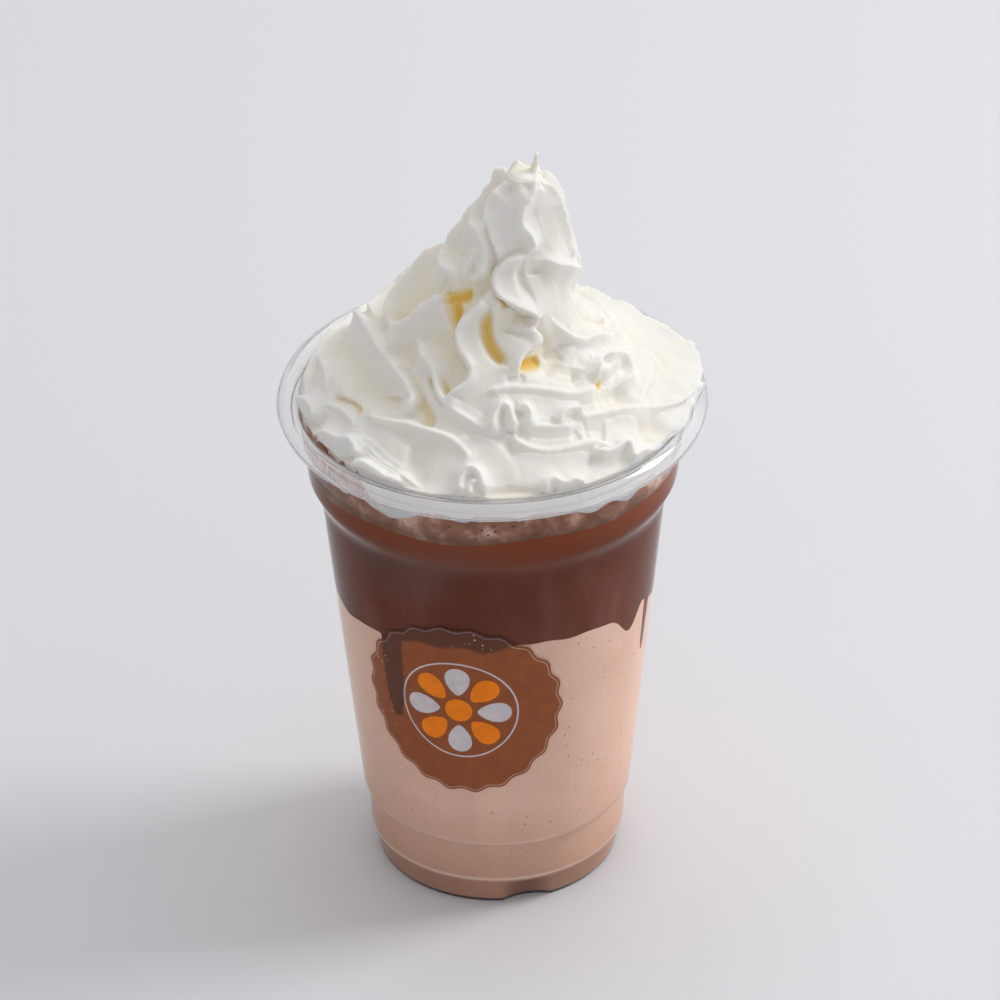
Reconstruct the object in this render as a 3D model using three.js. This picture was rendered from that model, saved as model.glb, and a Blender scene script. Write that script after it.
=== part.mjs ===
// A blended coffee drink in a clear takeaway cup: pale frappe below, a band of dark chocolate sauce,
// a thin band of foam, and a tall swirl of whipped cream that fills the rim and stands above it.
// Millimetres, +Z up, origin at the middle of the foot on the table, -Y towards the front of the cup.
import * as THREE from "three";
import { mergeVertices } from "three/addons/utils/BufferGeometryUtils.js";

// Driving dimensions
const RIM_RADIUS = 49;
const RIM_TOP = 123;
const FOOT_RADIUS = 27;
const WALL = 0.8;
const GAP = 0.3;
const FLOOR_TOP = 3.8;
const RECESS_TOP = 3;
const FOOT_RING = 1.7;

// The outer wall as [radius, height], from the foot to the collar below the rim
const OUTER_WALL = [
  [FOOT_RADIUS, 0],
  [27.6, 0.6],
  [28.7, 6.4],
  [29.3, 7.4],
  [29.9, 17.5],
  [30.9, 18.5],
  [39.3, 96.5],
  [40.2, 99],
  [42.2, 103],
  [43.2, 112],
  [43.6, 118],
];

// The rolled rim as [radius, height], from the collar over the bead to the mouth
const RIM_BEAD = [
  [43.9, 118.8],
  [46.2, 118.4],
  [48.3, 118.8],
  [RIM_RADIUS, 120.6],
  [48.4, 122.2],
  [47, RIM_TOP],
  [45.6, 122.8],
  [44.6, 121.4],
];

// Three pressed flutes in the skirt of the foot
const FLUTES = 3;
const FLUTE_TURN = 13;
const FLUTE_HALF_WIDTH = 11;
const FLUTE_DEPTH = 2;
const FLUTE_TOP = 6.4;

// Levels of the layers where they meet the wall
const SAUCE_EDGE = 79;
const SAUCE_TOP = 108.5;
const FOAM_TOP = 114.5;
const WAVE = 1;

// Where the sauce hangs lower than its edge: [angle, half width in degrees, depth in mm]
const SAUCE_LOBES = [
  [-170, 5, 13],
  [-142, 15, 7],
  [-113, 5, 19],
  [-92, 12, 8],
  [-62, 14, 9],
  [-45, 4.4, 24],
  [-2, 7, 3],
  [63, 13, 9],
  [78, 4.4, 18],
  [112, 14, 7],
  [139, 5, 18],
  [163, 12, 6],
];

// A round scalloped sticker on the front of the wall
const STICKER_RADIUS = 23.8;
const STICKER_SCALLOPS = 22;
const STICKER_SCALLOP_DEPTH = 0.8;
const STICKER_ANGLE = -14;
const STICKER_HEIGHT = 58.4;
const STICKER_THICKNESS = 0.4;

// Facets round the cup and its layers
const CUP_STEPS = 60;
const LAYER_STEPS = 90;
const CREAM_STEPS = 60;
const CREAM_LEVELS = 42;

// The mound of cream as [height, shift to +X, radius on the low side, radius on the high side]
const MOUND = [
  [187.2, 9.9, 0.5, 0.5],
  [184.6, 9.4, 1.3, 1.3],
  [183.4, 8.4, 4, 5],
  [180.5, 8, 6.6, 6.6],
  [176, 8, 9, 9],
  [170, 7, 10.8, 11.5],
  [163, 6.5, 12.8, 17],
  [157, 6, 14.2, 21],
  [150, 5, 16.5, 27],
  [142, 4, 21.5, 33],
  [136, 3, 28, 38],
  [131, 2, 35, 42],
  [127, 1, 40.5, 44.8],
  [123.8, 0, 45.6, 46.4],
];
const HIGH_SIDE = -112;
const MOUTH_RADIUS = 44.5;
const MOUTH_CLEARANCE = 0.8;
const DEEPEST_FOLD = 7;

// Folds of the piped cream, each a crest line on the mound. start and end are [angle, height],
// bow is how far the middle lies off the straight way, wave is [degrees, wavelength in mm, turn].
const FOLDS = [
  { start: [-6, 183.4], end: [8, 151], wave: [18, 15, 100], deep: 6.5 },
  { start: [26, 149], end: [12, 143], deep: 4.5 },
  { start: [68, 183], end: [84, 143], wave: [6, 14, 0], deep: 6 },
  { start: [-90, 183], end: [-76, 157], bow: [32, 0], deep: 5 },
  { start: [-118, 183], end: [-125, 134], bow: [30, 3], deep: 6 },
  { start: [-165, 183], end: [-150, 143], wave: [8, 15, 0], deep: 6 },
  { start: [150, 183], end: [142, 144], wave: [8, 14, 90], deep: 6 },
  { start: [108, 183], end: [106, 149], wave: [7, 15, 180], deep: 6 },
  { start: [-24, 159.4], end: [-22, 137.5], bow: [-8, 0], wave: [4, 12, 0], deep: 6 },
  { start: [-122, 133], end: [-34, 135.4], bow: [-8, 8], deep: 6 },
  { start: [-68, 142.8], end: [-55, 157], bow: [-4, 1], deep: 5 },
  { start: [-42, 144], end: [65, 124], bow: [-4, -3.2], deep: 6 },
  { start: [-44, 132.4], end: [-2, 124.5], bow: [-4, 3.5], deep: 5.5 },
  { start: [-78, 125.5], end: [-45, 128.5], bow: [0, 3], deep: 5 },
  { start: [-70, 123.8], end: [-22, 124.6], bow: [0, 3.6], deep: 5 },
  { start: [95, 124], end: [36, 133.2], bow: [0, 2.2], deep: 6 },
  { start: [-14, 139], end: [62, 135], bow: [0, 1], deep: 5.5 },
  { start: [36, 150], end: [118, 130.5], bow: [0, 2], deep: 5.5 },
  { start: [92, 138], end: [66, 130.5], deep: 4 },
  { start: [35, 127.6], end: [64, 124], deep: 4 },
  { start: [88, 124.4], end: [178, 126.2], bow: [0, 1.6], deep: 5 },
  { start: [118, 138], end: [210, 140], bow: [0, -5], deep: 5.5 },
  { start: [165, 146], end: [226, 127], bow: [0, 1], deep: 5.5 },
  { start: [-176, 131], end: [-120, 124.6], bow: [0, -1], deep: 5.5 },
  { start: [-128, 127.5], end: [-88, 125.2], bow: [0, 1], deep: 5 },
];
const FOLD_STEP = 1.5;
const FOLD_WIDTH = 4.4;
const FOLD_FADE = 0.12;
const FOLD_END_DROP = 3;
const CREST_ROUND = 0.5;

const radians = THREE.MathUtils.degToRad;
const lerp = THREE.MathUtils.lerp;
const clamp = THREE.MathUtils.clamp;

// A value read off rows of numbers, by straight lines between them
function readOff(rows, at, column, value) {
  const up = rows[rows.length - 1][at] > rows[0][at];
  const list = up ? rows : [...rows].reverse();
  if (value <= list[0][at]) return list[0][column];
  for (let i = 1; i < list.length; i += 1) {
    if (value > list[i][at]) continue;
    const part = (value - list[i - 1][at]) / (list[i][at] - list[i - 1][at]);
    return lerp(list[i - 1][column], list[i][column], part);
  }
  return list[list.length - 1][column];
}

// How far an angle lies from another, in degrees, either way round
function turnBetween(a, b) {
  return ((((a - b) % 360) + 540) % 360) - 180;
}

// Angle round the cup in degrees: 0 at the front, positive towards +X
function angleOf(x, y) {
  return THREE.MathUtils.radToDeg(Math.atan2(x, -y));
}

function onCircle(angle, radius, height) {
  return new THREE.Vector3(radius * Math.sin(radians(angle)), -radius * Math.cos(radians(angle)), height);
}

// Turns a profile about +Z and then moves each point by the given rule. A profile that runs from the
// top down is turned inside out, so its faces are reversed.
function turned(profile, steps, move, fromTop = false) {
  const points = profile.map(([radius, height]) => new THREE.Vector2(radius, height));
  const lathe = new THREE.LatheGeometry(points, steps, radians(FLUTE_TURN));
  lathe.rotateX(Math.PI / 2);
  lathe.deleteAttribute("normal");
  lathe.deleteAttribute("uv");
  const solid = mergeVertices(lathe, 0.001);
  if (fromTop) solid.index.array.reverse();
  const position = solid.getAttribute("position");
  const point = new THREE.Vector3();
  for (let i = 0; i < position.count; i += 1) {
    point.fromBufferAttribute(position, i);
    position.setXYZ(i, ...move(point).toArray());
  }
  solid.computeVertexNormals();
  return solid;
}

function named(name, geometry, color, roughness, extra = {}) {
  const material = new THREE.MeshStandardMaterial({ color, roughness, metalness: 0, ...extra });
  const mesh = new THREE.Mesh(geometry, material);
  mesh.name = name;
  return mesh;
}

// How deep the flutes press the skirt in at an angle
function fluteDepth(angle) {
  const pitch = 360 / FLUTES;
  const off = Math.abs(turnBetween((angle - FLUTE_TURN) % pitch, 0));
  const near = Math.min(off, pitch - off) / FLUTE_HALF_WIDTH;
  if (near >= 1) return 0;
  return FLUTE_DEPTH * Math.cos((near * Math.PI) / 2) ** 2;
}

function outerRadius(height) {
  return readOff(OUTER_WALL, 1, 0, height);
}

// The inner wall as [radius, height]: it clears the flutes at the floor and then follows the outer wall
const INNER_WALL = [
  [FOOT_RADIUS - FLUTE_DEPTH - WALL, FLOOR_TOP],
  ...OUTER_WALL.filter(([, height]) => height >= FLUTE_TOP).map(([radius, height]) => [radius - WALL, height]),
];

// The inner face of the wall, less the gap that the contents keep from it
function fillRadius(height) {
  return readOff(INNER_WALL, 1, 0, height) - GAP;
}

function cup() {
  const ringInside = FOOT_RADIUS - FOOT_RING;
  const profile = [
    [0, RECESS_TOP],
    [ringInside - 0.8, RECESS_TOP],
    [ringInside, 0],
    ...OUTER_WALL,
    ...RIM_BEAD,
    ...[...INNER_WALL].reverse(),
    [0, FLOOR_TOP],
  ];
  const skirt = (radius, height) => height < FLUTE_TOP && radius >= ringInside - 1 && height < FLOOR_TOP;
  return turned(profile, CUP_STEPS, (point) => {
    const radius = Math.hypot(point.x, point.y);
    if (!skirt(radius, point.z)) return point;
    const angle = angleOf(point.x, point.y);
    return onCircle(angle, radius - fluteDepth(angle), point.z);
  });
}

// The levels where two layers meet, at the wall and levelling out towards the middle
function levelAt(atWall, middle) {
  return (angle, share) => lerp(middle, atWall(angle), share ** 3);
}

const sauceEdge = levelAt((angle) => {
  let height = SAUCE_EDGE;
  for (const [middle, width, depth] of SAUCE_LOBES) {
    height -= depth * Math.exp(-((turnBetween(angle, middle) / width) ** 2));
  }
  return height;
}, SAUCE_EDGE - 5);
const sauceTop = levelAt((angle) => SAUCE_TOP + WAVE * Math.sin(radians(5 * angle + 40)), SAUCE_TOP);
const foamTop = levelAt((angle) => {
  const slow = Math.sin(radians(4 * angle + 100));
  const quick = Math.sin(radians(9 * angle));
  return FOAM_TOP + 1.6 * WAVE * slow + WAVE * quick;
}, FOAM_TOP);
const floorLevel = () => FLOOR_TOP;

// A layer of the drink, between two levels, with wall rows at the given heights between them. Every
// other layer is turned from the top, so that the faces of two neighbours lie parallel.
function layer(lower, upper, heights, steps, fromTop) {
  const RINGS = [0, 0.6, 1];
  const rows = [];
  RINGS.forEach((share) => rows.push({ share, level: lower, lift: GAP }));
  heights.forEach((height) => rows.push({ share: 1, height }));
  [...RINGS].reverse().forEach((share) => rows.push({ share, level: upper, lift: 0 }));
  const SPREAD = 10;
  const profile = rows.map((row, i) => [row.share * SPREAD, i]);
  if (fromTop) profile.reverse();
  const place = (point) => {
    const row = rows[Math.round(point.z)];
    const angle = angleOf(point.x, point.y);
    const height = row.level ? row.level(angle, row.share) + row.lift : row.height;
    return onCircle(angle, row.share * fillRadius(height), height);
  };
  return turned(profile, steps, place, fromTop);
}

// A point on the smooth mound that the crests of the cream lie on
function onMound(angle, height) {
  const low = readOff(MOUND, 0, 2, height);
  const high = readOff(MOUND, 0, 3, height);
  const toHigh = (0.5 + 0.5 * Math.cos(radians(angle - HIGH_SIDE))) ** 1.4;
  const point = onCircle(angle, lerp(low, high, toHigh), height);
  point.x += readOff(MOUND, 0, 1, height);
  return point;
}

function outwardOnMound(angle, height) {
  const point = onMound(angle, height);
  const along = onMound(angle + 0.1, height).sub(point);
  const up = onMound(angle, height + 0.02).sub(point);
  return along.cross(up).normalize();
}

// The crest line of a fold, in short straight steps
function crestLine({ start, end, bow = [0, 0], wave = [0, 1, 0] }) {
  const drop = start[1] - end[1];
  const at = (part) => {
    const arch = 4 * part * (1 - part);
    const sway = wave[0] * Math.sin(radians((360 * drop * part) / wave[1] + wave[2]));
    const angle = lerp(start[0], end[0], part) + bow[0] * arch + sway * Math.min(1, part * 4);
    return onMound(angle, lerp(start[1], end[1], part) + bow[1] * arch);
  };
  const count = Math.max(6, Math.round((at(0).distanceTo(at(0.5)) + at(0.5).distanceTo(at(1))) / FOLD_STEP));
  return Array.from({ length: count + 1 }, (_, i) => at(i / count));
}

// How far a point of the mound lies below the crests, because of the fold nearest to it
function foldDepth(point, folds) {
  let depth = DEEPEST_FOLD;
  const nearest = new THREE.Vector3();
  for (const { line, deep } of folds) {
    let best = Infinity;
    let along = 0;
    for (let i = 0; i + 1 < line.length; i += 1) {
      const stretch = new THREE.Line3(line[i], line[i + 1]);
      const part = stretch.closestPointToPointParameter(point, true);
      const away = stretch.at(part, nearest).distanceTo(point);
      if (away >= best) continue;
      best = away;
      along = (i + part) / (line.length - 1);
    }
    const fade = clamp(Math.min(along, 1 - along) / FOLD_FADE, 0, 1);
    const soft = Math.hypot(best, CREST_ROUND) - CREST_ROUND;
    const sag = (1 - fade) * FOLD_END_DROP;
    depth = Math.min(depth, sag + deep * (1 - Math.exp(-soft / FOLD_WIDTH)));
  }
  return depth;
}

// Heights spread evenly along the slope of the mound, from the tip down to the mouth
function moundHeights(count) {
  const fine = 400;
  const top = MOUND[0][0];
  const low = MOUND[MOUND.length - 1][0];
  const heights = Array.from({ length: fine + 1 }, (_, i) => lerp(top, low, i / fine));
  const radii = heights.map((height) => (readOff(MOUND, 0, 2, height) + readOff(MOUND, 0, 3, height)) / 2);
  const run = [0];
  for (let i = 1; i <= fine; i += 1) {
    run.push(run[i - 1] + Math.hypot(heights[i] - heights[i - 1], radii[i] - radii[i - 1]));
  }
  const table = heights.map((height, i) => [run[i], height]);
  return Array.from({ length: count }, (_, i) => readOff(table, 0, 1, (run[fine] * i) / (count - 1)));
}

function cream() {
  const folds = FOLDS.map((fold) => ({ line: crestLine(fold), deep: fold.deep }));
  const bottom = [0, 0.6, 1].map((share) => ({ share }));
  const inside = [118, RIM_TOP - 1].map((height) => ({ height }));
  const outside = moundHeights(CREAM_LEVELS).reverse().map((level) => ({ level }));
  const rows = [...bottom, ...inside, ...outside, { tip: MOUND[0][0] + 0.3 }];
  const SPREAD = 10;
  const profile = rows.map((row, i) => [row.tip ? 0 : SPREAD * (row.share ?? 1), i]);
  const TAPER = 9;
  return turned(profile, CREAM_STEPS, (point) => {
    const row = rows[Math.round(point.z)];
    const angle = angleOf(point.x, point.y);
    if (row.tip) return new THREE.Vector3(MOUND[0][1], 0, row.tip);
    if (row.share !== undefined) {
      const height = foamTop(angle, row.share) + GAP;
      return onCircle(angle, row.share * fillRadius(height), height);
    }
    if (row.height) return onCircle(angle, fillRadius(row.height), row.height);
    const place = onMound(angle, row.level);
    const taper = clamp((MOUND[0][0] - row.level) / TAPER, 0, 1);
    const depth = foldDepth(place, folds) * taper;
    place.addScaledVector(outwardOnMound(angle, row.level), -depth);
    const inward = MOUTH_RADIUS / Math.hypot(place.x, place.y);
    if (place.z < RIM_TOP + MOUTH_CLEARANCE && inward < 1) place.multiply(new THREE.Vector3(inward, inward, 1));
    return place;
  });
}

function sticker() {
  const RINGS = [0, 0.26, 0.5, 0.76, 1];
  const back = RINGS.map((share) => [share * STICKER_RADIUS, 0]);
  const front = [...back].reverse().map(([radius]) => [radius, STICKER_THICKNESS]);
  return turned([...back, ...front], STICKER_SCALLOPS * 2, (point) => {
    const radius = Math.hypot(point.x, point.y);
    const turn = Math.atan2(point.y, point.x) - radians(FLUTE_TURN);
    const scallop = 1 + (STICKER_SCALLOP_DEPTH / 2 / STICKER_RADIUS) * Math.cos(STICKER_SCALLOPS * turn);
    const edge = radius * (radius > STICKER_RADIUS * 0.9 ? scallop : 1);
    const height = STICKER_HEIGHT + edge * Math.sin(turn);
    const angle = STICKER_ANGLE + THREE.MathUtils.radToDeg((edge * Math.cos(turn)) / outerRadius(STICKER_HEIGHT));
    return onCircle(angle, outerRadius(height) + GAP + point.z, height);
  });
}

const frappe = new THREE.Group();
frappe.add(
  named("cup", cup(), 0xe4e6ee, 0.08, { transparent: true, opacity: 0.3 }),
  named("frappe", layer(floorLevel, sauceEdge, [6.4, 7.4, 17.5, 18.5, 48], LAYER_STEPS, true), 0xb98f7c, 0.5),
  named("chocolate", layer(sauceEdge, sauceTop, [96.5, 99, 103], LAYER_STEPS), 0x5b3026, 0.35),
  named("foam", layer(sauceTop, foamTop, [112], CUP_STEPS, true), 0xc59d86, 0.6),
  named("cream", cream(), 0xf6f1e6, 0.5),
  named("label", sticker(), 0x8a4b24, 0.5),
);

export default frappe;
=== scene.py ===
"""A blended coffee drink in a clear takeaway cup: the looks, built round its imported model."""

import math

import bpy
import numpy as np
from mathutils import Matrix, Vector


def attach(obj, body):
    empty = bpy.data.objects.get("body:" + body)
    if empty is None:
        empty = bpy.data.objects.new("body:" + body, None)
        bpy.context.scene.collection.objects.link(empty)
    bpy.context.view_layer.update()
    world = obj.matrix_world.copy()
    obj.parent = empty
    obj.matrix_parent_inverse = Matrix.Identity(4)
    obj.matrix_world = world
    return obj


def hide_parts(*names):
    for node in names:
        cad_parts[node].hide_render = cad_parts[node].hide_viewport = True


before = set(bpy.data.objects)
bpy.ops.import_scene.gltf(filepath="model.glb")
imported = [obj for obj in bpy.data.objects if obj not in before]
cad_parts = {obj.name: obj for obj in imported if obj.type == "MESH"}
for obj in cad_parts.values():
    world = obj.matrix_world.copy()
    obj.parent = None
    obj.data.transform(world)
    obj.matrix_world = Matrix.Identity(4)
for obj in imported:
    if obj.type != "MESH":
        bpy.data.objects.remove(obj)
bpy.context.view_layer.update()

# All sizes below are in millimetres, and MM turns them into Blender's metres
MM = 0.001

# The cup's wall, as [radius, height] up the outer face
OUTER_WALL = [
    (26.2, 0.0), (27.1, 0.15), (27.6, 0.8), (28.7, 6.3), (29.2, 7.0), (29.35, 7.6), (29.9, 17.4),
    (30.5, 18.0), (30.95, 18.7), (39.3, 96.4), (39.6, 98.0), (40.3, 99.6), (41.4, 101.6), (42.2, 103.2),
    (43.2, 112.0), (43.35, 114.0), (43.2, 114.5), (43.6, 118.0),
]
# The curl of the rim, as [radius, height] along the face that was the outside of the wall
RIM_CURL = [
    (43.95, 119.4), (44.6, 121.1), (45.5, 122.15), (46.9, 122.55), (48.0, 121.9), (48.55, 120.6),
    (48.2, 119.35), (47.3, 118.7), (46.3, 118.75), (45.8, 119.4),
]
WALL = 0.5
REACH = 0.15
FLOOR = 3.4
FLUTES = 3
FLUTE_TURN = 14.0
FLUTE_HALF_WIDTH = 12.0
FLUTE_DEPTH = 1.9
FLUTE_TOP = 6.3
CUP_STEPS = 180
# Above this height the cup's faces have the material of the rim
RIM_FOOT = 118.2

# Levels of the drink's layers at the wall
SAUCE_EDGE = 77.6
SAUCE_TOP = 108.6
FOAM_TOP = 115.2
# Where lumps of cream press down into the foam: [angle, half width in degrees, depth]
FOAM_LUMPS = [
    (-70, 9, 2.6), (-53, 5, 2.2), (-33, 9, 3.0), (-9, 4, 0.7), (8, 3, 0.9), (32, 5.5, 2.3), (46, 6, 3.5),
    (64, 8, 3.8), (88, 6, 2), (113, 10, 3), (150, 7, 3.2), (178, 10, 2.4), (215, 7, 3), (240, 10, 2.2),
    (262, 5, 2.4),
]
# Where the sauce hangs lower: [angle, half width in degrees, depth]
SAUCE_LOBES = [
    (-178, 13, 5), (-142, 15, 7), (-108, 12, 5), (-78, 12, 3), (-60, 13, 4.6), (-24, 10, 1.6), (-2, 7, 1.6),
    (38, 9, 1.2), (57, 8, 7), (80, 8, 6), (112, 14, 7), (163, 12, 6),
]
# Narrow runs of sauce: [angle, half width in degrees, lowest height]
SAUCE_RUNS = [(-169, 3, 62), (-113, 3.4, 57), (-40, 4.8, 52), (70.5, 2.2, 59.5), (139, 3.6, 60)]
LAYER_STEPS = 360
# The rings across the top and bottom of a layer, as shares of the way to the wall
RING_SHARES = (0.0, 0.35, 0.7, 0.93, 1.0)
# The smear of sauce inside the wall: from which angle to which, its foot and its thickness
SMEAR = (-116.0, -38.0)
SMEAR_FOOT = 114.0
SMEAR_THICKNESS = 0.35
SMEAR_STEPS = 240
SMEAR_ROWS = 8

# The round scalloped sticker on the wall, and how strongly the sauce shades the ink in front of it
STICKER_RADIUS = 23.8
STICKER_SCALLOPS = 22
STICKER_ANGLE = -14.0
STICKER_HEIGHT = 58.4
SAUCE_SHADE = 0.9
# How far the sticker's ground and the ink on it lie off the wall, and how thick they are
FIELD_LIFT = 0.02
FIELD_THICKNESS = 0.1
INK_LIFT = 0.12
INK_THICKNESS = 0.03
PETALS = 8

# The camera, fitted to the ellipses of the rim and the foot
CAMERA_ELEVATION = 33.277
CAMERA_ROLL = 0.71
CAMERA_AIM = (1.473, 0.0, 92.994)
CAMERA_DISTANCE = 2400.0
CAMERA_LENS = 378.27


# Small helpers

def deselect():
    if bpy.context.object and bpy.context.object.mode != "OBJECT":
        bpy.ops.object.mode_set(mode="OBJECT")
    bpy.ops.object.select_all(action="DESELECT")


def read_off(rows, value, at=1, column=0):
    """A value read off rows of numbers by straight lines between them."""
    table = np.array(rows, float)
    order = np.argsort(table[:, at])
    return np.interp(value, table[order, at], table[order, column])


def turn_between(a, b):
    """How far angle a lies from angle b, in degrees."""
    return (np.asarray(a) - b + 180.0) % 360.0 - 180.0


def hump(angle, middle, width):
    """1 at the middle angle, falling off to either side."""
    return np.exp(-((turn_between(angle, middle) / width) ** 2))


def smooth_step(x):
    x = np.clip(x, 0.0, 1.0)
    return x * x * (3.0 - 2.0 * x)


def points_of(obj):
    flat = np.empty(len(obj.data.vertices) * 3)
    obj.data.vertices.foreach_get("co", flat)
    return flat.reshape(-1, 3) / MM


def move_points(obj, points):
    obj.data.vertices.foreach_set("co", (np.asarray(points) * MM).ravel())
    obj.data.update()


def add_values(obj, name, values):
    """A number for each point of the piece, which its material reads."""
    held = obj.data.attributes.new(name, "FLOAT", "POINT")
    held.data.foreach_set("value", np.asarray(values, float))


def on_circle(angle, radius, height):
    a = np.radians(angle)
    return np.stack([radius * np.sin(a), -radius * np.cos(a), height + 0.0 * a], axis=-1)


def angle_of(points):
    return np.degrees(np.arctan2(points[:, 0], -points[:, 1]))


def turned(name, outline, steps):
    """A body turned on a wheel: the outline, as [radius, height] from the axis back to the axis, is spun."""
    deselect()
    bpy.ops.mesh.primitive_circle_add(vertices=len(outline), radius=0.01)
    obj = bpy.context.object
    obj.name = obj.data.name = name
    move_points(obj, [(0.0, -radius, height) for radius, height in outline])
    bpy.ops.object.mode_set(mode="EDIT")
    bpy.ops.mesh.select_mode(type="EDGE")
    bpy.ops.mesh.select_all(action="DESELECT")
    bpy.ops.object.mode_set(mode="OBJECT")
    last = len(outline) - 1
    closing = next(e for e in obj.data.edges if set(e.vertices) == {0, last})
    closing.select = True
    bpy.ops.object.mode_set(mode="EDIT")
    bpy.ops.mesh.delete(type="EDGE")
    bpy.ops.mesh.select_mode(type="VERT")
    bpy.ops.mesh.select_all(action="SELECT")
    bpy.ops.mesh.spin(steps=steps, angle=math.tau, center=(0, 0, 0), axis=(0, 0, 1))
    bpy.ops.mesh.select_all(action="SELECT")
    bpy.ops.mesh.remove_doubles(threshold=0.00001)
    bpy.ops.mesh.select_all(action="SELECT")
    bpy.ops.mesh.normals_make_consistent(inside=False)
    bpy.ops.object.mode_set(mode="OBJECT")
    return obj


def smooth(obj, angle=None):
    deselect()
    obj.select_set(True)
    bpy.context.view_layer.objects.active = obj
    if angle is None:
        bpy.ops.object.shade_smooth()
    else:
        bpy.ops.object.shade_smooth_by_angle(angle=math.radians(angle))


def thicken(obj, thickness, side):
    """Turns a sheet on the wall to face outwards and thickens it, outwards for side 1 and inwards for -1."""
    outward = sum((f.normal.x * f.center.x + f.normal.y * f.center.y) for f in obj.data.polygons)
    if outward < 0:
        obj.data.flip_normals()
    film = obj.modifiers.new("film", "SOLIDIFY")
    film.thickness = thickness * MM
    film.offset = side
    bpy.ops.object.modifier_apply(modifier=film.name)


def finished(piece, node, material):
    """Gives a piece its material, hangs it under the root and hides the imported part that it stands in for.
    """
    piece.data.materials.clear()
    piece.data.materials.append(material)
    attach(piece, "root")
    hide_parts(node)


# Materials

class Nodes:
    """A short way to write a material's nodes."""

    def __init__(self, name):
        self.material = bpy.data.materials.new(name)
        self.material.use_nodes = True
        self.tree = self.material.node_tree
        self.shader = self.tree.nodes["Principled BSDF"]
        self.output = self.tree.nodes["Material Output"]

    def add(self, kind, **settings):
        node = self.tree.nodes.new("ShaderNode" + kind)
        for key, value in settings.items():
            setattr(node, key, value)
        return node

    def link(self, start, end):
        self.tree.links.new(start, end)

    def colour(self, colour):
        self.link(colour, self.shader.inputs["Base Color"])

    def set(self, **values):
        for key, value in values.items():
            self.shader.inputs[key.replace("_", " ")].default_value = value

    def place(self, scale=(1, 1, 1)):
        """Object coordinates, stretched by the given scale."""
        where = self.add("TexCoord")
        mapping = self.add("Mapping")
        mapping.inputs["Scale"].default_value = scale
        self.link(where.outputs["Object"], mapping.inputs["Vector"])
        return mapping.outputs["Vector"]

    def noise(self, vector, scale, detail=3.0, roughness=0.5):
        node = self.add("TexNoise")
        node.inputs["Scale"].default_value = scale
        node.inputs["Detail"].default_value = detail
        node.inputs["Roughness"].default_value = roughness
        self.link(vector, node.inputs["Vector"])
        return node.outputs["Fac"]

    def ramp(self, value, stops):
        node = self.add("ValToRGB")
        elements = node.color_ramp.elements
        while len(elements) < len(stops):
            elements.new(0.5)
        for element, (position, colour) in zip(elements, stops):
            element.position = position
            element.color = (*colour, 1.0)
        self.link(value, node.inputs["Fac"])
        return node.outputs["Color"]

    def mix(self, share, first, second):
        node = self.tree.nodes.new("ShaderNodeMix")
        node.data_type = "RGBA"
        for socket, value in ((node.inputs[0], share), (node.inputs[6], first), (node.inputs[7], second)):
            if isinstance(value, bpy.types.NodeSocket):
                self.link(value, socket)
            elif isinstance(value, tuple):
                socket.default_value = (*value, 1.0)
            else:
                socket.default_value = value
        return node.outputs[2]

    def spread(self, value, low, high, to_low=0.0, to_high=1.0):
        node = self.add("MapRange")
        for key, number in (("From Min", low), ("From Max", high), ("To Min", to_low), ("To Max", to_high)):
            node.inputs[key].default_value = number
        self.link(value, node.inputs["Value"])
        return node.outputs["Result"]

    def math(self, operation, first, second=0.0):
        node = self.add("Math", operation=operation)
        for socket, value in zip(node.inputs, (first, second)):
            if isinstance(value, bpy.types.NodeSocket):
                self.link(value, socket)
            else:
                socket.default_value = value
        return node.outputs[0]

    def height(self, vector):
        split = self.add("SeparateXYZ")
        self.link(vector, split.inputs[0])
        return split.outputs["Z"]

    def bump(self, value, distance, strength=1.0):
        node = self.add("Bump")
        node.inputs["Distance"].default_value = distance * MM
        node.inputs["Strength"].default_value = strength
        self.link(value, node.inputs["Height"])
        self.link(node.outputs["Normal"], self.shader.inputs["Normal"])

    def specks(self, vector, scale, size, share):
        """Small round spots in some of the cells of a scattered pattern."""
        cells = self.add("TexVoronoi", voronoi_dimensions="3D")
        cells.inputs["Scale"].default_value = scale
        self.link(vector, cells.inputs["Vector"])
        spot = self.spread(cells.outputs["Distance"], size, size * 0.6)
        split = self.add("SeparateColor")
        self.link(cells.outputs["Color"], split.inputs[0])
        chosen = self.math("LESS_THAN", split.outputs[0], share)
        return self.math("MULTIPLY", spot, chosen)


def clear_plastic(name, clearness, shine):
    m = Nodes(name)
    m.set(Base_Color=(0.99, 0.985, 0.985, 1), Roughness=0.0, IOR=1.1, Transmission_Weight=clearness,
          Coat_Weight=shine, Coat_Roughness=0.03, Coat_IOR=1.5)
    m.bump(m.noise(m.place(), 60, 2), 0.004, 0.4)
    light = m.add("LightPath")
    passing = m.add("BsdfTransparent")
    passing.inputs["Color"].default_value = (0.94, 0.945, 0.955, 1)
    mixed = m.add("MixShader")
    m.link(light.outputs["Is Shadow Ray"], mixed.inputs[0])
    m.link(m.shader.outputs[0], mixed.inputs[1])
    m.link(passing.outputs[0], mixed.inputs[2])
    m.link(mixed.outputs[0], m.output.inputs["Surface"])
    return m.material


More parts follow.
